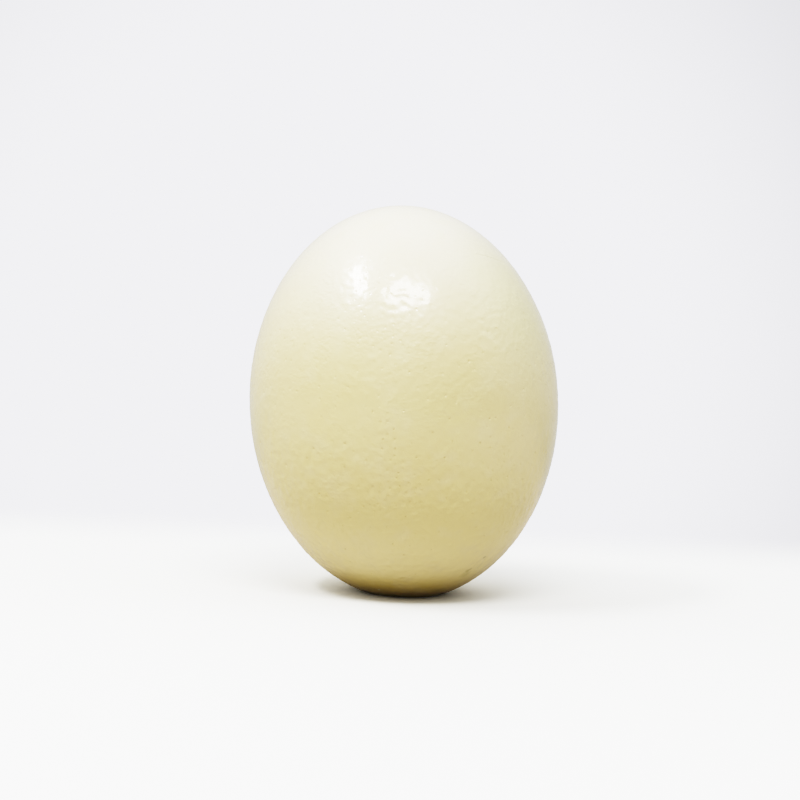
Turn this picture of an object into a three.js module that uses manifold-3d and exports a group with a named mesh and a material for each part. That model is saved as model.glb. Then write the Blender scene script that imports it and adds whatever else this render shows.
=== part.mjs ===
// An ostrich egg that stands upright on a small flat spot and leans a little to one side.
// Units are millimetres, +Z is up, and the origin is on the floor under the middle of the egg.

import * as THREE from 'three';
import { mergeGeometries, mergeVertices } from 'three/addons/utils/BufferGeometryUtils.js';
import Module from 'manifold-3d';

// The egg
const EGG_WIDTH = 122; // across the waist
const EGG_LENGTH = 156; // end to end, before the flat spot is taken off
const END_SLIMNESS = 0.01; // how much slimmer than an ellipse's the two ends are
const LEAN = THREE.MathUtils.degToRad(4.5); // the upper end leans towards -X
const FLAT_RADIUS = 16; // the spot that the egg rests on
const FACET_DIVISIONS = 12; // cuts in each edge of the icosahedron that the egg starts from

// The pores, which show as small pits
const PITTED_SHARE = 0.11; // of the facets, each with one pit
const PIT_WIDTH = { least: 1.1, most: 1.9 };
const PIT_DEPTH_SHARE = 0.27; // of the pit's width
const PIT_STRAY = 0.4; // how far a pit may lie from the middle of its facet, as a share
const PIT_SIDES = 6;
const CUTTER_RISE = 0.25; // how far the pit's cutter stands out of the shell
const LOWEST_PIT = 7; // height above the floor
const PIT_SEED = 1871;

// The finish
const SHELL_COLOUR = 0xe5d9b0;
const SHELL_ROUGHNESS = 0.35;

const halfWidth = EGG_WIDTH / 2;
const halfLength = EGG_LENGTH / 2;
const leanedHalfHeight = Math.hypot(halfLength * Math.cos(LEAN), halfWidth * Math.sin(LEAN));
const centreHeight = leanedHalfHeight * Math.sqrt(1 - (FLAT_RADIUS / halfWidth) ** 2);

const wasm = await Module();
wasm.setup();

// A closed geometry as a solid that can be cut and joined.
function toSolid(geometry) {
  const bare = geometry.clone();
  bare.deleteAttribute('normal');
  bare.deleteAttribute('uv');
  const merged = mergeVertices(bare);
  const mesh = new wasm.Mesh({
    numProp: 3,
    vertProperties: new Float32Array(merged.attributes.position.array),
    triVerts: new Uint32Array(merged.index.array),
  });
  return new wasm.Manifold(mesh);
}

// A solid as a geometry that a mesh can show.
function toGeometry(solid) {
  const mesh = solid.getMesh();
  const geometry = new THREE.BufferGeometry();
  geometry.setAttribute('position', new THREE.BufferAttribute(mesh.vertProperties, 3));
  geometry.setIndex(new THREE.BufferAttribute(mesh.triVerts, 1));
  geometry.computeVertexNormals();
  return geometry;
}

// The smooth egg, leaned and set at its height: a ball of even facets, drawn out to an egg.
function makeSmoothEgg() {
  const geometry = new THREE.IcosahedronGeometry(1, FACET_DIVISIONS);
  const positions = geometry.attributes.position;
  for (let i = 0; i < positions.count; i += 1) {
    const point = new THREE.Vector3().fromBufferAttribute(positions, i);
    const radius = halfWidth * (1 - END_SLIMNESS * point.z ** 2);
    positions.setXYZ(i, point.x * radius, point.y * radius, point.z * halfLength);
  }
  geometry.rotateY(-LEAN);
  geometry.translate(0, 0, centreHeight);
  return geometry;
}

// A block under the floor, which takes off the flat spot.
function makeFloorBlock() {
  const block = new THREE.BoxGeometry(EGG_WIDTH, EGG_WIDTH, EGG_LENGTH);
  block.translate(0, 0, -EGG_LENGTH / 2);
  return block;
}

// Repeatable draws between 0 and 1 (Park and Miller's generator).
function makeDraws(seed) {
  let state = seed;
  return () => {
    state = (state * 16807) % 2147483647;
    return state / 2147483647;
  };
}

// A point near the middle of a facet.
function pointOnFacet(facet, draw) {
  const weights = [0, 1, 2].map(() => 1 + PIT_STRAY * (draw() - 0.5));
  const total = weights[0] + weights[1] + weights[2];
  const point = new THREE.Vector3();
  point.addScaledVector(facet.a, weights[0] / total);
  point.addScaledVector(facet.b, weights[1] / total);
  point.addScaledVector(facet.c, weights[2] / total);
  return point;
}

// A small cone, its tip at the bottom of the pit and its wide end just outside the shell.
function makePitCutter(mouth, outward, width) {
  const depth = width * PIT_DEPTH_SHARE;
  const height = depth + CUTTER_RISE;
  const cone = new THREE.ConeGeometry((width / 2) * (height / depth), height, PIT_SIDES);
  cone.translate(0, (depth - CUTTER_RISE) / 2, 0);
  const tipDirection = new THREE.Vector3(0, 1, 0);
  const inward = outward.clone().negate();
  cone.applyQuaternion(new THREE.Quaternion().setFromUnitVectors(tipDirection, inward));
  cone.translate(mouth.x, mouth.y, mouth.z);
  return cone;
}

// The cutters of all the pits. Each pit keeps inside one facet, so its rim is a clean outline.
function makePitCutters(smoothEgg) {
  const draw = makeDraws(PIT_SEED);
  const positions = smoothEgg.attributes.position;
  const cutters = [];
  for (let i = 0; i < positions.count; i += 3) {
    const facet = new THREE.Triangle().setFromAttributeAndIndices(positions, i, i + 1, i + 2);
    const mouth = pointOnFacet(facet, draw);
    const width = THREE.MathUtils.lerp(PIT_WIDTH.least, PIT_WIDTH.most, draw() ** 2);
    if (draw() < PITTED_SHARE && mouth.z > LOWEST_PIT) {
      cutters.push(makePitCutter(mouth, facet.getNormal(new THREE.Vector3()), width));
    }
  }
  return mergeGeometries(cutters);
}

const smoothEgg = makeSmoothEgg();
const standingEgg = toSolid(smoothEgg).subtract(toSolid(makeFloorBlock()));
const pittedEgg = standingEgg.subtract(toSolid(makePitCutters(smoothEgg)));

const shellMaterial = new THREE.MeshStandardMaterial({
  color: SHELL_COLOUR,
  roughness: SHELL_ROUGHNESS,
  metalness: 0,
});

const egg = new THREE.Mesh(toGeometry(pittedEgg), shellMaterial);
egg.name = 'egg';

const ostrichEgg = new THREE.Group();
ostrichEgg.add(egg);

export default ostrichEgg;
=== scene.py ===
"""An ostrich egg on a plain pale floor: its pitted shell, its finish, the floor, the lights and the camera.

Lengths are in metres and +Z is up. The origin is on the floor, under the middle of the egg.
"""

import logging
import math
import random
from collections.abc import Iterable
from dataclasses import dataclass, field
from enum import Enum

import bmesh
import bpy
from mathutils import Matrix, Quaternion, Vector, kdtree, noise

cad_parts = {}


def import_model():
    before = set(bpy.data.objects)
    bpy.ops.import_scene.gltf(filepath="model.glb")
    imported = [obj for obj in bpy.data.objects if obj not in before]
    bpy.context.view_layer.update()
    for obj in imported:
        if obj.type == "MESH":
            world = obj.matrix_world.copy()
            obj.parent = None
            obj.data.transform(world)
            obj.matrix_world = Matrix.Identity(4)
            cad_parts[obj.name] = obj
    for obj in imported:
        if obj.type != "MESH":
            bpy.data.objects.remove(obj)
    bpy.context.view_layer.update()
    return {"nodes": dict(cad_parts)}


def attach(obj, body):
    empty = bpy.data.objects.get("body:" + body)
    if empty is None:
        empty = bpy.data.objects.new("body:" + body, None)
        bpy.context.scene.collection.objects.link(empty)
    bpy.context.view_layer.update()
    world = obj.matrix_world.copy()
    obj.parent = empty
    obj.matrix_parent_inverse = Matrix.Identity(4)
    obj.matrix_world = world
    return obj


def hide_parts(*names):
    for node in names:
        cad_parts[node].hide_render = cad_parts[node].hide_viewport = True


LOG = logging.getLogger("ostrich_egg")
MM = 0.001
UP = Vector((0, 0, 1))
CLOUD_MIDDLE = 0.5

Colour = tuple[float, float, float]
Triple = tuple[float, float, float]
Bounds = tuple[float, float]

WHITE: Colour = (1.0, 1.0, 1.0)


class Part(Enum):
    """The names that the frame gives to what it holds."""

    BODY = "root"
    NODE = "egg"
    SLOT = "shell"


class Lamp(Enum):
    """The outline of a softbox."""

    OBLONG = "RECTANGLE"
    OVAL = "ELLIPSE"


class Blend(Enum):
    """How one colour is laid over another."""

    COVER = "MIX"
    STAIN = "MULTIPLY"


def clamped(share: float) -> float:
    """A share kept between 0 and 1."""
    return min(1.0, max(0.0, share))


def between(ends: Bounds, share: float) -> float:
    """The number that lies at a share of the way from one end to the other."""
    return ends[0] + (ends[1] - ends[0]) * share


def opaque(colour: Colour) -> tuple[float, float, float, float]:
    """A colour with full cover."""
    return (*colour, 1.0)


def tree_of(places: Iterable[Vector]) -> kdtree.KDTree:
    """Sorts points for quick searches.

    Args:
        places: the points.

    Returns:
        The search tree, which numbers the points in their order.
    """
    listed = list(places)
    tree = kdtree.KDTree(len(listed))
    for number, place in enumerate(listed):
        tree.insert(place, number)
    tree.balance()
    return tree


# ---------------------------------------------------------------------------
# Shader maths
# ---------------------------------------------------------------------------


@dataclass(frozen=True)
class Channel:
    """A number that varies over a surface: an output socket that can be reckoned with."""

    bench: "Bench"
    socket: bpy.types.NodeSocket

    def _math(self, operation: str, *terms: "Channel | float") -> "Channel":
        """Adds one Math node and returns its result."""
        return self.bench.maths(operation, *terms)

    def __add__(self, other: "Channel | float") -> "Channel":
        """self + other."""
        return self._math("ADD", self, other)

    def __radd__(self, other: float) -> "Channel":
        """other + self."""
        return self._math("ADD", other, self)

    def __sub__(self, other: "Channel | float") -> "Channel":
        """self - other."""
        return self._math("SUBTRACT", self, other)

    def __rsub__(self, other: float) -> "Channel":
        """other - self."""
        return self._math("SUBTRACT", other, self)

    def __mul__(self, other: "Channel | float") -> "Channel":
        """self * other."""
        return self._math("MULTIPLY", self, other)

    def __rmul__(self, other: float) -> "Channel":
        """other * self."""
        return self._math("MULTIPLY", other, self)

    def __truediv__(self, other: "Channel | float") -> "Channel":
        """self / other."""
        return self._math("DIVIDE", self, other)

    def __abs__(self) -> "Channel":
        """The size of the number without its sign."""
        return self._math("ABSOLUTE", self)

    def ramp(self, low: float, high: float) -> "Channel":
        """A smooth step.

        Args:
            low: the value where the step is 0.
            high: the value where the step is 1. It may be below low.

        Returns:
            0 up to low, 1 from high on, and a smooth rise between them.
        """
        settings = {"interpolation_type": "SMOOTHSTEP"}
        inputs = {"Value": self, "From Min": low, "From Max": high}
        return Channel(self.bench, self.bench.node("ShaderNodeMapRange", settings, inputs).outputs["Result"])


class Bench:
    """The node tree of one material or world, and the one way of adding a node to it."""

    def __init__(self, tree: bpy.types.NodeTree) -> None:
        """Takes the tree over and empties it.

        Args:
            tree: the node tree of a material or a world.
        """
        self.tree = tree
        tree.nodes.clear()

    def node(
        self,
        kind: str,
        settings: dict[str, object] | None = None,
        inputs: dict[str | int, object] | None = None,
    ) -> bpy.types.Node:
        """Adds a node.

        Args:
            kind: the node's type, such as "ShaderNodeMath".
            settings: properties of the node, which are set first.
            inputs: a value, a socket or a Channel for each input, by its name or number.

        Returns:
            The new node.
        """
        made = self.tree.nodes.new(kind)
        for name, value in (settings or {}).items():
            setattr(made, name, value)
        for key, value in (inputs or {}).items():
            source = value.socket if isinstance(value, Channel) else value
            if isinstance(source, bpy.types.NodeSocket):
                self.tree.links.new(source, made.inputs[key])
            else:
                made.inputs[key].default_value = source
        return made

    def maths(self, operation: str, *terms: Channel | float) -> Channel:
        """Adds a Math node.

        Args:
            operation: the node's operation, such as "ADD".
            terms: its inputs in order.

        Returns:
            The result.
        """
        made = self.node("ShaderNodeMath", {"operation": operation}, dict(enumerate(terms)))
        return Channel(self, made.outputs[0])

    def place(self) -> bpy.types.NodeSocket:
        """The point of the surface in the object's own coordinates."""
        return self.node("ShaderNodeTexCoord").outputs["Object"]

    def part_of(self, vector: bpy.types.NodeSocket, axis: str) -> Channel:
        """One of a vector's three numbers, by its axis "X", "Y" or "Z"."""
        made = self.node("ShaderNodeSeparateXYZ", inputs={"Vector": vector})
        return Channel(self, made.outputs[axis])

    def facing(self, direction: bpy.types.NodeSocket, towards: Vector, sharpness: float) -> Channel:
        """How squarely a direction looks towards a fixed one.

        Args:
            direction: the direction.
            towards: the fixed direction.
            sharpness: how fast the number falls off to the sides.

        Returns:
            1 straight towards it, falling to 0 at a right angle and beyond.
        """
        share = self.maths("MAXIMUM", self.along(direction, towards.normalized()), 0.0)
        return self.maths("POWER", share, sharpness)

    def along(self, vector: bpy.types.NodeSocket, direction: Vector) -> Channel:
        """How far a vector reaches along a fixed direction."""
        made = self.node("ShaderNodeVectorMath", {"operation": "DOT_PRODUCT"}, {0: vector, 1: direction})
        return Channel(self, made.outputs["Value"])

    def distance(self, vector: bpy.types.NodeSocket, point: Vector) -> Channel:
        """How far a vector's point is from a fixed one."""
        made = self.node("ShaderNodeVectorMath", {"operation": "DISTANCE"}, {0: vector, 1: point})
        return Channel(self, made.outputs["Value"])

    def stretched(self, vector: bpy.types.NodeSocket, factors: Vector) -> bpy.types.NodeSocket:
        """A vector multiplied by one fixed factor along each axis."""
        made = self.node("ShaderNodeVectorMath", {"operation": "MULTIPLY"}, {0: vector, 1: factors})
        return made.outputs["Vector"]

    def cloud(self, vector: bpy.types.NodeSocket, size: float, detail: float = 2.0) -> Channel:
        """Soft random patches.

        Args:
            vector: the point of the surface.
            size: how large a patch is, in metres.
            detail: how many finer layers are laid over it.

        Returns:
            A number from about 0.2 to 0.8, with 0.5 in the middle.
        """
        inputs = {"Vector": vector, "Scale": 1 / size, "Detail": detail}
        return Channel(self, self.node("ShaderNodeTexNoise", inputs=inputs).outputs["Fac"])

    def layer(
        self,
        under: bpy.types.NodeSocket | Colour,
        over: bpy.types.NodeSocket | Colour,
        share: Channel | float,
        blend: Blend = Blend.COVER,
    ) -> bpy.types.NodeSocket:
        """Lays one colour over another.

        Args:
            under: the colour below.
            over: the colour on top.
            share: how much of the top colour shows, from 0 to 1.
            blend: how the top colour is laid on.

        Returns:
            The mixed colour.
        """
        settings = {"data_type": "RGBA", "blend_type": blend.value, "clamp_factor": True}
        colours = [opaque(c) if isinstance(c, tuple) else c for c in (under, over)]
        inputs = {"Factor": share, 6: colours[0], 7: colours[1]}
        return self.node("ShaderNodeMix", settings, inputs).outputs[2]


# ---------------------------------------------------------------------------
# The egg's form
# ---------------------------------------------------------------------------


@dataclass(frozen=True)
class EggForm:
    """The smooth form of the egg, as the frame has it."""

    width: float = 122 * MM
    length: float = 156 * MM
    end_slimness: float = 0.01
    lean: float = math.radians(4.5)
    flat_radius: float = 16 * MM

    def centre_height(self) -> float:
        """How high the middle of the whole egg lies, with the flat spot on the floor."""
        leaned = math.hypot(self.length * math.cos(self.lean), self.width * math.sin(self.lean)) / 2
        return leaned * math.sqrt(1 - (2 * self.flat_radius / self.width) ** 2)

    def placement(self) -> Matrix:
        """From the upright egg's own frame to its leaned place over the floor."""
        return Matrix.Translation(UP * self.centre_height()) @ Matrix.Rotation(-self.lean, 4, "Y")

    def point(self, direction: Vector) -> Vector:
        """The point of the upright shell that a point of the unit ball is drawn out to."""
        radius = self.width / 2 * (1 - self.end_slimness * direction.z**2)
        return Vector((direction.x * radius, direction.y * radius, direction.z * self.length / 2))

    def outward(self, upright: Vector) -> Vector:
        """The direction that faces out of the upright shell at one of its points."""
        return Vector((upright.x, upright.y, upright.z * (self.width / self.length) ** 2)).normalized()

    def sunkenness(self, upright: Vector) -> float:
        """How far a point lies under the smooth shell.

        Args:
            upright: a point in the upright egg's own frame.

        Returns:
            The depth along the line to the egg's middle, and 0 on the shell.
        """
        share = min(1.0, abs(upright.z) / (self.length / 2))
        radius = self.width / 2 * (1 - self.end_slimness * share**2)
        reach = math.hypot(math.hypot(upright.x, upright.y) / radius, upright.z / (self.length / 2))
        return (1 / reach - 1) * upright.length


@dataclass(frozen=True)
class Thicket:
    """A place where pits or dimples crowd together: its middle, how far it reaches and how dense it is."""

    middle: Triple
    reach: float
    gain: float

    def share(self, point: Vector) -> float:
        """How much denser it is at a point than elsewhere."""
        away = (point - Vector(self.middle)).length / self.reach
        return self.gain * math.exp(-(away**2))


@dataclass(frozen=True)
class Relief:
    """The unevenness of the shell: shallow dimples that lie in patches, on broad swells.

    A dimple is about as wide as around and as tall as along. The dimples are strongest at the lower end
    and fade towards the upper one, and right at the foot they are calm.
    """

    around: float = 2.0 * MM
    along: float = 1.6 * MM
    height: float = 0.205 * MM
    coarser_scale: float = 0.55
    coarser_share: float = 0.35
    coarser_origin: Triple = (7.3, 1.9, 4.1)
    patch_size: float = 20 * MM
    patch_origin: Triple = (13.7, 3.3, 4.5)
    patch_level: float = 0.6
    patch_contrast: float = 1.2
    patch_height: Bounds = (0.35, 1.15)
    lower_end: float = 1.35
    upper_end: float = 0.16
    calm_foot: float = 0.12
    half_length: float = 78 * MM
    rough: tuple[Thicket, ...] = (
        Thicket((-3.4 * MM, -43 * MM, 47.5 * MM), 13 * MM, 0.6),
        Thicket((-6 * MM, -48 * MM, -46 * MM), 20 * MM, 0.18),
    )
    swell_size: float = 28 * MM
    swell_height: float = 0.10 * MM

    def rise(self, upright: Vector) -> float:
        """How far the shell stands proud of its smooth form.

        Args:
            upright: a point of the upright shell.

        Returns:
            The height above the smooth form, below 0 in a dimple.
        """
        wave = Vector((upright.x / self.around, upright.y / self.around, upright.z / self.along))
        coarser = wave * self.coarser_scale + Vector(self.coarser_origin)
        dimples = noise.noise(wave) + self.coarser_share * noise.noise(coarser)
        patch = noise.noise(upright / self.patch_size + Vector(self.patch_origin))
        patchy = between(self.patch_height, clamped(self.patch_level + self.patch_contrast * patch))
        swell = noise.noise(upright / self.swell_size)
        upness = 0.5 + 0.5 * upright.z / self.half_length
        strength = between((self.lower_end, self.upper_end), upness)
        strength *= min(1.0, upness / self.calm_foot)
        strength += sum(place.share(upright) for place in self.rough)
        return self.height * dimples * patchy * strength + self.swell_height * swell


@dataclass(frozen=True)
class Pit:
    """One pore's mouth: where it lies, how its hollow is shaped and how the shell dips to it."""

    place: Vector
    radius: float
    depth: float
    stretch: float
    turn: float
    darkness: float
    dip: float
    dip_reach: float


@dataclass(frozen=True)
class PoreKind:
    """One kind of pore: its radius, its depth against that, and the dip around it, each least and most."""

    radius: Bounds
    depth_share: Bounds
    dip: Bounds
    dip_reach: Bounds


@dataclass(frozen=True)
class Pores:
    """The pits of the shell: how they are strewn, how large they are and how they sink in.

    Most are shallow and few are deep. Between the two worn_heights they grow more and more shallow, with
    shallower dips and lighter painted shade.
    """

    seed: int = 41
    closest: float = 2.0 * MM
    widest_gap: float = 8.0 * MM
    crowd_size: float = 18 * MM
    crowd_origin: Triple = (4.6, 8.6, 14.2)
    crowd_level: float = 0.38
    crowd_contrast: float = 1.2
    thickets: tuple[Thicket, ...] = (
        Thicket((-8 * MM, -44 * MM, 122 * MM), 17 * MM, 0.7),
        Thicket((-4 * MM, -50 * MM, 32 * MM), 16 * MM, 0.45),
    )
    lowest: float = 5 * MM
    shallow_bias: float = 2.4
    stretch: Bounds = (0.72, 1.25)
    # How strongly a pit is painted with shade and made rougher and duller, from the shallowest to the
    # deepest pits.
    darkness: Bounds = (0.15, 1.0)
    worn_heights: Bounds = (82 * MM, 116 * MM)
    wear: float = 0.60
    small: PoreKind = PoreKind(
        (0.20 * MM, 0.36 * MM), (0.12, 0.55), (0.010 * MM, 0.050 * MM), (0.7 * MM, 1.3 * MM)
    )
    large: PoreKind = PoreKind(
        (0.26 * MM, 0.42 * MM), (0.18, 0.66), (0.035 * MM, 0.080 * MM), (0.8 * MM, 1.3 * MM)
    )

    def _gap(self, place: Vector) -> float:
        """The bare distance around a pit, which is short where pits crowd together.

        Args:
            place: where the pit lies.

        Returns:
            The distance, between closest and widest_gap.
        """
        patch = noise.noise(place / self.crowd_size + Vector(self.crowd_origin))
        crowding = self.crowd_level + self.crowd_contrast * patch
        crowding += sum(thicket.share(place) for thicket in self.thickets)
        return between((self.widest_gap, self.closest), clamped(crowding))

    def _pit(self, place: Vector, kind: PoreKind, draws: random.Random) -> Pit:
        """One pit with drawn sizes.

        Args:
            place: where it lies.
            kind: the bounds of its sizes.
            draws: where its random sizes come from.

        Returns:
            The pit.
        """
        radius = draws.uniform(*kind.radius)
        sinking = draws.random() ** self.shallow_bias
        depth = radius * between(kind.depth_share, sinking)
        stretch = draws.uniform(*self.stretch)
        turn = draws.uniform(0, math.pi)
        dip = draws.uniform(*kind.dip)
        dip_reach = draws.uniform(*kind.dip_reach)
        worn_from, worn_to = self.worn_heights
        left = 1 - self.wear * clamped((place.z - worn_from) / (worn_to - worn_from))
        darkness = between(self.darkness, sinking)
        return Pit(place, radius, depth * left, stretch, turn, darkness * left, dip * left, dip_reach)

    def strewn(self, places: list[Vector], framed: list[Vector]) -> dict[int, Pit]:
        """Chooses which points of the shell become pits.

        Args:
            places: the shell's points.
            framed: where the frame has its larger pits.

        Returns:
            The pits by the number of their point.
        """
        draws = random.Random(self.seed)
        tree = tree_of(places)
        pits: dict[int, Pit] = {}
        taken: set[int] = set()
        for place in framed:
            number = tree.find(place)[1]
            if number not in taken:
                pits[number] = self._pit(places[number], self.large, draws)
                taken.update(found[1] for found in tree.find_range(places[number], self.closest))
        order = list(range(len(places)))
        draws.shuffle(order)
        for number in order:
            if number in taken or places[number].z < self.lowest:
                continue
            pits[number] = self._pit(places[number], self.small, draws)
            gap = self._gap(places[number])
            taken.update(found[1] for found in tree.find_range(places[number], gap))
        return pits


# ---------------------------------------------------------------------------
# The shell
# ---------------------------------------------------------------------------


@dataclass
class Shell:
    """The egg's shell, one closed mesh with its pits and its flat spot.

    A pit is first opened as wide as mouth, then drawn out to its own radius. It has a rim, an inner ring and
    a bottom. The inner ring's radius, depth and darkness and the rim's darkness are shares of the pit's own.
    """

    form: EggForm = field(default_factory=EggForm)
    relief: Relief = field(default_factory=Relief)
    pores: Pores = field(default_factory=Pores)
    first_turn: float = 0.4
    edge_cuts: int = 85
    dip_end: float = 2.5
    cut_tolerance: float = 1e-7
    foot_tolerance: float = 0.01 * MM
    mouth: float = 0.20 * MM
    mouth_inset: float = 0.3
    inner_ring: float = 0.56
    inner_depth: float = 0.80
    inner_darkness: float = 0.7
    rim_darkness: float = 0.1
    frame_pit_depth: float = 0.22 * MM
    frame_cells_per_mm: int = 20

    def frame_pits(self, node: bpy.types.Object) -> list[Vector]:
        """Where the frame's solid has its pits. Points that share one small cell count as one.

        Args:
            node: the frame's egg.

        Returns:
            The bottom of each pit, in the order in which the solid lists them.
        """
        upright = self.form.placement().inverted()
        bottoms: dict[tuple[int, ...], Vector] = {}
        for vertex in node.data.vertices:
            is_foot = vertex.co.z < self.pores.lowest
            if not is_foot and self.form.sunkenness(upright @ vertex.co) > self.frame_pit_depth:
                cell = tuple(round(number / MM * self.frame_cells_per_mm) for number in vertex.co)
                bottoms[cell] = vertex.co.copy()
        return list(bottoms.values())

    def build(self, node: bpy.types.Object) -> bpy.types.Object:
        """Makes the shell's mesh.

        Args:
            node: the frame's egg, whose pits the shell repeats.

        Returns:
            The shell's object, at the origin.
        """
        work = bmesh.new()
        hollow = work.verts.layers.float.new("hollow")
        bmesh.ops.create_icosphere(work, subdivisions=1, radius=1.0)
        bmesh.ops.rotate(work, verts=work.verts, matrix=Matrix.Rotation(self.first_turn, 3, "Z"))
        bmesh.ops.subdivide_edges(work, edges=work.edges, cuts=self.edge_cuts, use_grid_fill=True)
        for vertex in work.verts:
            vertex.co.normalize()
        pits = self._draw_out(work, self.frame_pits(node))
        self._cut_foot(work)
        self._open_pits(work, pits, hollow)
        for face in work.faces:
            face.smooth = True
        self._edge_foot(work)
        mesh = bpy.data.meshes.new("shell")
        work.to_mesh(mesh)
        work.free()
        shell = bpy.data.objects.new("shell", mesh)
        bpy.context.scene.collection.objects.link(shell)
        return shell

    def _draw_out(self, work: bmesh.types.BMesh, framed: list[Vector]) -> dict[int, Pit]:
        """Draws the ball out to the leaned egg, with its relief and the dips around its pits.

        Args:
            work: the mesh, a unit ball.
            framed: where the frame has its larger pits.

        Returns:
            The pits by the number of their point, each with its place on the finished egg.
        """
        placement = self.form.placement()
        turn = placement.to_3x3()
        upright = [self.form.point(vertex.co) for vertex in work.verts]
        places = [placement @ point for point in upright]
        pits = self.pores.strewn(places, framed)
        rise = [self.relief.rise(point) for point in upright]
        tree = tree_of(places)
        for pit in pits.values():
            for _, near, distance in tree.find_range(pit.place, self.dip_end * pit.dip_reach):
                rise[near] -= pit.dip * math.exp(-((distance / pit.dip_reach) ** 2))
        for number, vertex in enumerate(work.verts):
            outward = turn @ self.form.outward(upright[number])
            vertex.co = places[number] + outward * rise[number]
        work.verts.ensure_lookup_table()
        return pits

    def _cut_foot(self, work: bmesh.types.BMesh) -> None:
        """Takes off what lies under the floor and closes the egg with its flat spot.

        Args:
            work: the mesh of the whole egg.
        """
        cut = bmesh.ops.bisect_plane(
            work,
            geom=[*work.verts, *work.edges, *work.faces],
            dist=self.cut_tolerance,
            plane_co=(0, 0, 0),
            plane_no=UP,
            clear_inner=True,
        )
        rim = [part for part in cut["geom_cut"] if isinstance(part, bmesh.types.BMEdge)]
        bmesh.ops.contextual_create(work, geom=rim)
        work.normal_update()

    def _edge_foot(self, work: bmesh.types.BMesh) -> None:
        """Leaves the flat spot flat, with a crisp edge.

        Args:
            work: the mesh of the finished egg.
        """
        for face in work.faces:
            if all(vertex.co.z < self.foot_tolerance for vertex in face.verts):
                face.smooth = False
                for edge in face.edges:
                    edge.smooth = False

    def _open_pits(
        self, work: bmesh.types.BMesh, pits: dict[int, Pit], hollow: bmesh.types.BMLayerItem
    ) -> None:
        """Turns the chosen points into sunken pits.

        Args:
            work: the mesh of the whole egg.
            pits: the pits by the number of their point.
            hollow: the layer that says how deep in a pit a point lies.
        """
        tree = tree_of(vertex.co for vertex in work.verts)
        work.verts.ensure_lookup_table()
        chosen = []
        for pit in pits.values():
            if pit.place.z > self.pores.lowest:
                chosen.append((work.verts[tree.find(pit.place)[1]], pit))
        centres = tree_of(vertex.co for vertex, _ in chosen)
        made = bmesh.ops.bevel(
            work,
            geom=[vertex for vertex, _ in chosen],
            offset=self.mouth,
            offset_type="OFFSET",
            segments=1,
            profile=0.5,
            affect="VERTICES",
            material=-1,
        )
        mouths = [face for face in made["faces"] if face.is_valid]
        bmesh.ops.inset_individual(work, faces=mouths, thickness=self.mouth * self.mouth_inset, depth=0)
        bottoms = bmesh.ops.poke(work, faces=mouths)
        LOG.info("pits: %d asked, %d mouths, %d bottoms", len(chosen), len(mouths), len(bottoms["verts"]))
        for bottom in bottoms["verts"]:
            pit = chosen[centres.find(bottom.co)[1]][1]
            self._sink(bottom, pit, hollow)

    def _sink(self, bottom: bmesh.types.BMVert, pit: Pit, hollow: bmesh.types.BMLayerItem) -> None:
        """Gives one pit its size, its oval outline and its depth.

        Args:
            bottom: the point in the middle of the pit.
            pit: the pit's sizes.
            hollow: the layer that says how deep in a pit a point lies.
        """
        centre = bottom.co.copy()
        inner = [edge.other_vert(bottom) for edge in bottom.link_edges]
        outward = Vector()
        for face in bottom.link_faces:
            outward += face.normal
        outward.normalize()
        along = Quaternion(outward, pit.turn) @ outward.orthogonal().normalized()
        across = outward.cross(along)
        for ring in inner:
            beside = (edge.other_vert(ring) for edge in ring.link_edges)
            rim = next(vertex for vertex in beside if vertex not in inner and vertex is not bottom)
            arm = rim.co - centre
            arm -= outward * arm.dot(outward)
            arm.normalize()
            reach = along * arm.dot(along) * pit.stretch + across * arm.dot(across) / pit.stretch
            rim_offset = (rim.co - centre).dot(outward)
            rim.co = centre + reach * pit.radius + outward * rim_offset
            ring.co = rim.co - reach * pit.radius * (1 - self.inner_ring)
            ring.co -= outward * pit.depth * self.inner_depth
            # The hollow values set how much painted shade, roughness and gloss loss the pit's points get.
            ring[hollow] = self.inner_darkness * pit.darkness
            rim[hollow] = self.rim_darkness * pit.darkness
        bottom.co = centre - outward * pit.depth
        bottom[hollow] = pit.darkness


# ---------------------------------------------------------------------------
# The finish
# ---------------------------------------------------------------------------


@dataclass(frozen=True)
class Patches:
    """Soft random patches: their size, where the cloud begins and is full, and their greatest share."""

    size: float
    edge: Bounds
    strength: float
    detail: float = 2.0

    def cover(self, bench: Bench, place: bpy.types.NodeSocket) -> Channel:
        """How much of a patch shows.

        Args:
            bench: the node tree of the finish.
            place: the point of the surface.

        Returns:
            Its share, from 0 to strength.
        """
        return bench.cloud(place, self.size, self.detail).ramp(*self.edge) * self.strength


@dataclass(frozen=True)
class Spot:
    """A soft spot on the shell: where it lies, its radius, its colour and how well it covers.

    Its core is the share of the radius that has its full colour.
    """

    place: Triple
    radius: float
    colour: Colour
    strength: float
    core: float = 0.2

    def cover(self, bench: Bench, place: bpy.types.NodeSocket) -> Channel:
        """How much of the spot's colour shows.

        Args:
            bench: the node tree of the finish.
            place: the point of the surface.

        Returns:
            Its share, with an uneven edge.
        """
        ragged = (bench.cloud(place, self.radius) - CLOUD_MIDDLE) * self.radius
        away = bench.distance(place, Vector(self.place)) + ragged
        return away.ramp(self.radius, self.core * self.radius) * self.strength


@dataclass(frozen=True)
class Hairline:
    """A faint fine scratch: the plane that it follows over the shell, its middle and its size.

    The plane is given by the direction across it and by its offset from the origin. The core is the share
    of the reach that has its full strength.
    """

    across: Triple
    offset: float
    middle: Triple
    reach: float
    strength: float
    width: float = 0.5 * MM
    core: float = 0.4

    def cover(self, bench: Bench, place: bpy.types.NodeSocket) -> Channel:
        """How much of the scratch shows.

        Args:
            bench: the node tree of the finish.
            place: the point of the surface.

        Returns:
            Its share, strongest along its middle and fading to its ends.
        """
        beside = abs(bench.along(place, Vector(self.across)) - self.offset)
        near = bench.distance(place, Vector(self.middle)).ramp(self.reach, self.core * self.reach)
        return beside.ramp(self.width, 0.0) * near * self.strength


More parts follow.
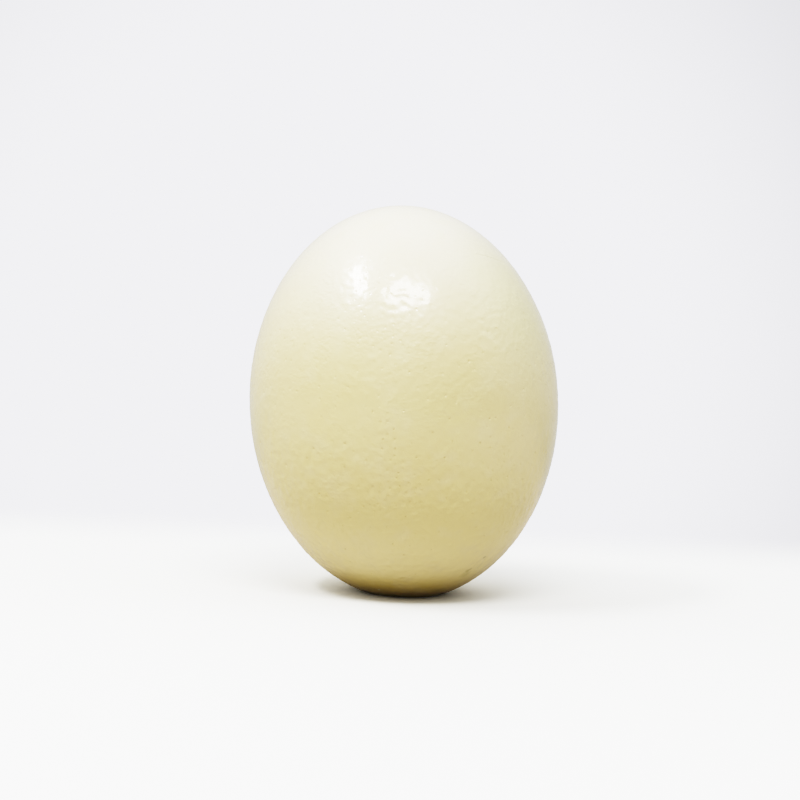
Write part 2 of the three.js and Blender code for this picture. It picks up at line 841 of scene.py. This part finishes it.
@dataclass(frozen=True)
class ShellFinish:
    """Glossy cream eggshell, a little uneven in colour and darker in its pits, with painted light and shade:
    a painted sheen towards the top, painted bounce light and contact shade at the foot, painted light and
    shade on the sides and painted shade in the pits.

    A name that ends in rise says where something begins and where it is full: a height over the floor or,
    in pit_rise and dull_rise, a depth in a pit from 0 to 1.
    """

    # Painted sheen: the colour runs from lower at the floor to upper at the top, paler and bluer upwards in
    # place of the sheen of the light from above.
    upper: Colour = (0.745, 0.651, 0.396)
    lower: Colour = (0.746, 0.658, 0.244)
    # Painted bounce light: a paler band low on the egg, full below 18 mm and gone above 40 mm, in place of
    # light bounced up from the floor.
    heel_bounce_light: Colour = (0.905, 0.82, 0.415)
    heel_bounce_light_rise: Bounds = (40 * MM, 18 * MM)
    # Painted contact shade: a dark warm brown at the foot, full below 3 mm and gone above 13 mm, where the
    # egg meets the floor.
    foot_contact_shade: Colour = (0.63, 0.525, 0.145)
    foot_contact_shade_rise: Bounds = (13 * MM, 3 * MM)
    straw_stain: Colour = (0.98, 0.955, 0.88)
    pale: Colour = (0.80, 0.73, 0.44)
    # Painted sheen: a paler colour over the crown, in place of the light from above.
    crown_sheen: Colour = (0.82, 0.77, 0.60)
    crown_sheen_rise: Bounds = (95 * MM, 158 * MM)
    # Painted shade in the pits: a darker brown laid in by the hollow values, on top of the pits' own sunken
    # form.
    pit: Colour = (0.56, 0.44, 0.20)
    pit_rise: Bounds = (0.05, 1.0)
    pit_share: float = 0.8
    egg_height: float = 153 * MM
    straw_patches: Patches = Patches(34 * MM, (0.30, 0.72), 0.6)
    pale_patches: Patches = Patches(9 * MM, (0.45, 0.80), 0.35)
    flecks: Patches = Patches(0.9 * MM, (0.60, 0.78), 0.35, 1.0)
    roughness: float = 0.42
    roughness_patch: float = 6 * MM
    roughness_spread: float = 0.12
    pit_roughness: float = 0.25
    index: float = 1.5
    sheen_level: float = 0.75
    gloss: float = 0.90
    gloss_roughness: float = 0.17
    gloss_index: float = 1.6
    dull_rise: Bounds = (0.0, 0.3)
    dull_share: float = 0.9
    wrinkle_size: float = 1.4 * MM
    wrinkle_stretch: Triple = (0.7, 0.7, 1.0)
    wrinkle_height: float = 0.14 * MM
    wrinkle_least: float = 0.3
    wrinkle_patches: Patches = Patches(11 * MM, (0.35, 0.65), 0.9)
    fine_detail: float = 1.0
    grain_size: float = 0.5 * MM
    grain_share: float = 0.12
    specks_and_painted_light: tuple[Spot, ...] = (
        # Painted shade: a darker, yellower patch on the upper right shoulder.
        Spot((43.0 * MM, -24.1 * MM, 118.8 * MM), 44 * MM, (0.69, 0.65, 0.33), 0.65),
        # A paler patch on the right side at mid-height.
        Spot((47.0 * MM, -38.0 * MM, 80.0 * MM), 34 * MM, (0.77, 0.69, 0.44), 0.25),
        # Painted light: a paler patch on the left side.
        Spot((-50.0 * MM, -32.0 * MM, 88.0 * MM), 42 * MM, (0.76, 0.675, 0.42), 0.15),
        # The rest are small specks on the shell.
        Spot((26.9 * MM, -24.2 * MM, 11.4 * MM), 3.4 * MM, (0.45, 0.42, 0.11), 0.35),
        Spot((27.4 * MM, -26.2 * MM, 13.0 * MM), 1.5 * MM, (0.40, 0.37, 0.10), 0.55),
        Spot((28.5 * MM, -26.0 * MM, 13.6 * MM), 1.1 * MM, (0.40, 0.37, 0.10), 0.45),
        Spot((33.7 * MM, -26.8 * MM, 18.6 * MM), 1.0 * MM, (0.42, 0.38, 0.15), 0.60),
        Spot((-6.6 * MM, -21.9 * MM, 3.5 * MM), 0.8 * MM, (0.90, 0.88, 0.74), 0.90),
    )
    scratch: Colour = (0.80, 0.80, 0.74)
    scratch_depth: float = 0.8
    hairlines: tuple[Hairline, ...] = (
        Hairline(
            across=(-0.209, 0.460, 0.863),
            offset=99.88 * MM,
            middle=(31.6 * MM, -20.8 * MM, 134.5 * MM),
            reach=11 * MM,
            strength=0.9,
        ),
        Hairline(
            across=(-0.635, 0.761, 0.135),
            offset=-9.49 * MM,
            middle=(33.8 * MM, -8.7 * MM, 137.2 * MM),
            reach=8 * MM,
            strength=0.6,
        ),
    )

    def material(self) -> bpy.types.Material:
        """Makes the finish.

        Returns:
            The material of the shell.
        """
        made = bpy.data.materials.new("eggshell")
        made.use_nodes = True
        bench = Bench(made.node_tree)
        place = bench.place()
        # The pits' hollow values drive their painted shade, roughness and gloss loss.
        hollow_node = bench.node("ShaderNodeAttribute", {"attribute_name": "hollow"})
        hollow = Channel(bench, hollow_node.outputs["Fac"])
        uneven = (bench.cloud(place, self.roughness_patch) - CLOUD_MIDDLE) * self.roughness_spread
        shader = bench.node(
            "ShaderNodeBsdfPrincipled",
            inputs={
                "Base Color": self._colour(bench, place, hollow),
                "Roughness": self.roughness + uneven + hollow * self.pit_roughness,
                "IOR": self.index,
                "Specular IOR Level": self.sheen_level,
                "Coat Weight": self.gloss * (1 - hollow.ramp(*self.dull_rise) * self.dull_share),
                "Coat Roughness": self.gloss_roughness,
                "Coat IOR": self.gloss_index,
                "Normal": self._grain(bench, place),
            },
        )
        bench.node("ShaderNodeOutputMaterial", inputs={"Surface": shader.outputs["BSDF"]})
        return made

    def _colour(
        self, bench: Bench, place: bpy.types.NodeSocket, hollow: Channel
    ) -> bpy.types.NodeSocket:
        """The shell's colour: paler upwards and at the crown as a painted sheen, a paler band of painted
        bounce light and dark painted contact shade at the foot, painted light and shade on the sides, soft
        patches, fine flecks, specks, hairlines and dark pits of painted shade.

        Args:
            bench: the node tree of the finish.
            place: the point of the surface.
            hollow: how deep in a pit the point lies, from 0 to 1.

        Returns:
            The colour.
        """
        height = bench.part_of(place, "Z")
        # Painted sheen: paler and bluer upwards.
        colour = bench.layer(self.lower, self.upper, height / self.egg_height)
        # Painted sheen over the crown.
        colour = bench.layer(colour, self.crown_sheen, height.ramp(*self.crown_sheen_rise))
        # Painted bounce light from the floor, low on the egg.
        colour = bench.layer(colour, self.heel_bounce_light, height.ramp(*self.heel_bounce_light_rise))
        # Painted contact shade at the foot.
        colour = bench.layer(colour, self.foot_contact_shade, height.ramp(*self.foot_contact_shade_rise))
        straw = self.straw_patches.cover(bench, place)
        colour = bench.layer(colour, self.straw_stain, straw, Blend.STAIN)
        colour = bench.layer(colour, self.pale, self.pale_patches.cover(bench, place))
        flecks = self.flecks.cover(bench, place)
        colour = bench.layer(colour, self.straw_stain, flecks, Blend.STAIN)
        for hairline in self.hairlines:
            colour = bench.layer(colour, self.scratch, hairline.cover(bench, place), Blend.STAIN)
        # Broad painted light and shade on the sides, then the small specks.
        for spot in self.specks_and_painted_light:
            colour = bench.layer(colour, spot.colour, spot.cover(bench, place))
        # Painted shade in the pits.
        return bench.layer(colour, self.pit, hollow.ramp(*self.pit_rise) * self.pit_share)

    def _grain(self, bench: Bench, place: bpy.types.NodeSocket) -> bpy.types.NodeSocket:
        """The fine wrinkles, the grain and the hairlines of the glaze, all finer than the mesh.

        Args:
            bench: the node tree of the finish.
            place: the point of the surface.

        Returns:
            The direction that the surface seems to face.
        """
        stretched = bench.stretched(place, Vector(self.wrinkle_stretch))
        wrinkles = bench.cloud(stretched, self.wrinkle_size, self.fine_detail)
        patches = self.wrinkle_least + self.wrinkle_patches.cover(bench, place)
        grain = bench.cloud(place, self.grain_size, self.fine_detail) * self.grain_share
        height = wrinkles * patches + grain
        for hairline in self.hairlines:
            height = height - hairline.cover(bench, place) * self.scratch_depth
        inputs = {"Strength": 1.0, "Distance": self.wrinkle_height, "Height": height}
        return bench.node("ShaderNodeBump", inputs=inputs).outputs["Normal"]


# ---------------------------------------------------------------------------
# The studio
# ---------------------------------------------------------------------------


@dataclass(frozen=True)
class Softbox:
    """A soft light: where it hangs as seen from the egg, and how large, bright and far away it is."""

    name: str
    direction: Triple
    width: float
    height: float
    radiance: float
    turn: float = 0.0
    outline: Lamp = Lamp.OBLONG
    distance: float = 1.1

    def hang(self, aim: Vector) -> bpy.types.Object:
        """Hangs the light.

        Args:
            aim: the point that it faces.

        Returns:
            The light's object.
        """
        lamp = bpy.data.lights.new(self.name, "AREA")
        fill = math.pi / 4 if self.outline is Lamp.OVAL else 1.0
        lamp.shape = self.outline.value
        lamp.size = self.width
        lamp.size_y = self.height
        lamp.energy = self.radiance * math.pi * self.width * self.height * fill
        light = bpy.data.objects.new(self.name, lamp)
        towards = Vector(self.direction).normalized()
        light.location = aim + towards * self.distance
        light.rotation_mode = "QUATERNION"
        light.rotation_quaternion = towards.to_track_quat("Z", "Y") @ Quaternion((0, 0, 1), self.turn)
        bpy.context.scene.collection.objects.link(light)
        return light


@dataclass(frozen=True)
class Glow:
    """A broad soft light from far off: where it comes from, and how bright and how narrow it is."""

    direction: Triple
    strength: float
    sharpness: float


@dataclass
class Studio:
    """The pale floor, the bright surroundings and the lights.

    The camera sees the floor's colour and the backdrop. The egg is lit by the floor's bounce, by a faint
    base glow and by the glows and softboxes. The floor fades out behind the egg.
    """

    aim: Vector = field(default_factory=lambda: UP * 75 * MM)
    floor_half_width: float = 1.6
    floor_front: float = -1.6
    floor_back: float = 0.24
    floor_drop: float = 0.02 * MM
    floor_cells: int = 8
    fade: Bounds = (0.100, 0.230)
    floor_colour: Colour = (0.93, 0.94, 0.93)
    floor_bounce: Colour = (0.452, 0.395, 0.340)
    backdrop: float = 1.616
    backdrop_colour: Colour = (0.962, 0.960, 1.035)
    backdrop_middle: Triple = (-0.03, 1.0, -0.06)
    backdrop_reach: Bounds = (0.11, 0.26)
    backdrop_falloff: float = 0.43
    base_glow: float = 0.016
    glows: tuple[Glow, ...] = (
        Glow((0.0, 1.0, 0.0), 0.757, 2.0),
        Glow((-1.0, 0.0, 0.0), 0.11, 2.0),
        Glow((1.0, 0.0, 0.0), 0.046, 2.0),
        Glow((-0.6, 0.0, 0.8), 2.361, 6.0),
        Glow((0.6, 0.0, 0.8), 1.864, 6.0),
        Glow((0.0, 0.25, 0.97), 0.85, 6.0),
        Glow((-0.8, 0.55, 0.25), 0.60, 8.0),
        Glow((0.8, 0.6, 0.1), 0.15, 6.0),
        Glow((-0.1, 0.8, 0.6), 0.50, 8.0),
        Glow((-0.1, -0.87, 0.5), 0.70, 10.0),
    )
    softboxes: tuple[Softbox, ...] = (
        Softbox("side_softbox", (-0.509, -0.264, 0.819), 0.125, 0.40, 40.5, turn=math.radians(62)),
        Softbox("front_softbox", (0.042, -0.541, 0.840), 0.66, 0.26, 20.2, outline=Lamp.OVAL),
    )

    def build(self) -> None:
        """Lays the floor, sets the surroundings and hangs the lights."""
        self._lay_floor()
        self._surround()
        for softbox in self.softboxes:
            softbox.hang(self.aim)
            LOG.info("hung %s", softbox.name)

    def _lay_floor(self) -> None:
        """Lays the floor, a thin sheet a hair below the egg's flat spot."""
        work = bmesh.new()
        bmesh.ops.create_grid(work, x_segments=self.floor_cells, y_segments=self.floor_cells, size=1.0)
        middle = (self.floor_front + self.floor_back) / 2
        half = (self.floor_back - self.floor_front) / 2
        bmesh.ops.scale(work, vec=(self.floor_half_width, half, 1), verts=work.verts)
        bmesh.ops.translate(work, vec=(0, middle, -self.floor_drop), verts=work.verts)
        mesh = bpy.data.meshes.new("floor")
        work.to_mesh(mesh)
        work.free()
        mesh.materials.append(self._floor_finish())
        floor = bpy.data.objects.new("floor", mesh)
        bpy.context.scene.collection.objects.link(floor)

    def _floor_finish(self) -> bpy.types.Material:
        """Makes the floor's finish, which turns clear behind the egg.

        Returns:
            The material of the floor.
        """
        made = bpy.data.materials.new("floor")
        made.use_nodes = True
        bench = Bench(made.node_tree)
        depth = bench.part_of(bench.place(), "Y")
        bounce = bench.node("ShaderNodeBsdfDiffuse", inputs={"Color": opaque(self.floor_bounce)})
        paper = bench.node("ShaderNodeBsdfDiffuse", inputs={"Color": opaque(self.floor_colour)})
        seen = bench.node("ShaderNodeLightPath").outputs["Is Camera Ray"]
        surface = bench.node(
            "ShaderNodeMixShader", inputs={0: seen, 1: bounce.outputs[0], 2: paper.outputs[0]}
        )
        clear = bench.node("ShaderNodeBsdfTransparent")
        mixed = bench.node(
            "ShaderNodeMixShader",
            inputs={0: depth.ramp(*self.fade), 1: surface.outputs[0], 2: clear.outputs[0]},
        )
        bench.node("ShaderNodeOutputMaterial", inputs={"Surface": mixed.outputs[0]})
        return made

    def _surround(self) -> None:
        """Sets the bright surroundings that the camera sees and the dimmer ones that light the egg."""
        world = bpy.data.worlds.new("surroundings")
        bpy.context.scene.world = world
        world.use_nodes = True
        bench = Bench(world.node_tree)
        seen = bench.node("ShaderNodeLightPath").outputs["Is Camera Ray"]
        direction = bench.node("ShaderNodeTexCoord").outputs["Generated"]
        total: Channel | float = self.base_glow
        for glow in self.glows:
            total = bench.facing(direction, Vector(glow.direction), glow.sharpness) * glow.strength + total
        dim = bench.node("ShaderNodeBackground", inputs={"Color": opaque(WHITE), "Strength": total})
        off_middle = bench.distance(direction, Vector(self.backdrop_middle)).ramp(*self.backdrop_reach)
        shine = self.backdrop * (1 - off_middle * self.backdrop_falloff)
        inputs = {"Color": opaque(self.backdrop_colour), "Strength": shine}
        bright = bench.node("ShaderNodeBackground", inputs=inputs)
        mixed = bench.node(
            "ShaderNodeMixShader", inputs={0: seen, 1: dim.outputs[0], 2: bright.outputs[0]}
        )
        bench.node("ShaderNodeOutputWorld", inputs={"Surface": mixed.outputs[0]})


@dataclass(frozen=True)
class FilmCurve:
    """How brightness is printed: contrast in the middle and a long soft shoulder up to white.

    The curve's points lie closer together in the shadows, the more so the higher their crowding.
    """

    white: float = 1.032
    middle: float = 0.50
    contrast: float = 1.55
    brightest: float = 12.0
    steps: int = 24
    crowding: int = 3
    combined_curve: int = 3

    def printed(self, light: float) -> float:
        """The printed brightness of a light."""
        share = (light / self.middle) ** self.contrast
        return self.white * share / (1 + share)

    def apply(self, scene: bpy.types.Scene) -> None:
        """Sets the curve in the scene's view.

        Args:
            scene: the scene.
        """
        scene.view_settings.view_transform = "Standard"
        scene.view_settings.use_curve_mapping = True
        mapping = scene.view_settings.curve_mapping
        mapping.white_level = (self.brightest,) * 3
        curve = mapping.curves[self.combined_curve]
        curve.points[-1].location = (1.0, self.printed(self.brightest))
        for step in range(1, self.steps):
            share = (step / self.steps) ** self.crowding
            curve.points.new(share, self.printed(share * self.brightest))
        mapping.update()


@dataclass(frozen=True)
class Camera:
    """A level look at the egg from the front, a little from above and a little tipped."""

    distance: float = 1.1
    elevation: float = math.radians(4.6)
    roll: float = math.radians(2.4)
    sensor: float = 36.0
    lens: float = 125.0
    frame_pixels: int = 800
    egg_middle_pixel: tuple[float, float] = (403.85, 402.85)

    def set_up(self, middle: Vector) -> bpy.types.Object:
        """Sets the camera up.

        Args:
            middle: the point that shows at egg_middle_pixel.

        Returns:
            The camera's object.
        """
        lens = bpy.data.cameras.new("camera")
        lens.sensor_width = self.sensor
        lens.lens = self.lens
        camera = bpy.data.objects.new("camera", lens)
        back = Vector((0, -math.cos(self.elevation), math.sin(self.elevation)))
        turn = back.to_track_quat("Z", "Y") @ Quaternion((0, 0, 1), self.roll)
        metres_per_pixel = self.distance * self.sensor / self.lens / self.frame_pixels
        right, down = (pixel - self.frame_pixels / 2 for pixel in self.egg_middle_pixel)
        shift = turn @ Vector((-right, down, 0)) * metres_per_pixel
        camera.rotation_mode = "QUATERNION"
        camera.rotation_quaternion = turn
        camera.location = middle + back * self.distance + shift
        bpy.context.scene.collection.objects.link(camera)
        bpy.context.scene.camera = camera
        return camera


def main() -> None:
    """Builds the egg and its studio around the frame."""
    logging.basicConfig(level=logging.INFO, format="%(name)s: %(message)s")
    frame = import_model()
    node = frame["nodes"][Part.NODE.value]
    shell = Shell()
    egg = shell.build(node)
    egg.data.materials.append(ShellFinish().material())
    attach(egg, Part.BODY.value)
    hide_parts(Part.NODE.value)
    LOG.info("built %s with %d faces", egg.name, len(egg.data.polygons))
    Studio().build()
    Camera().set_up(UP * shell.form.centre_height())
    FilmCurve().apply(bpy.context.scene)


if __name__ == "__main__":
    main()
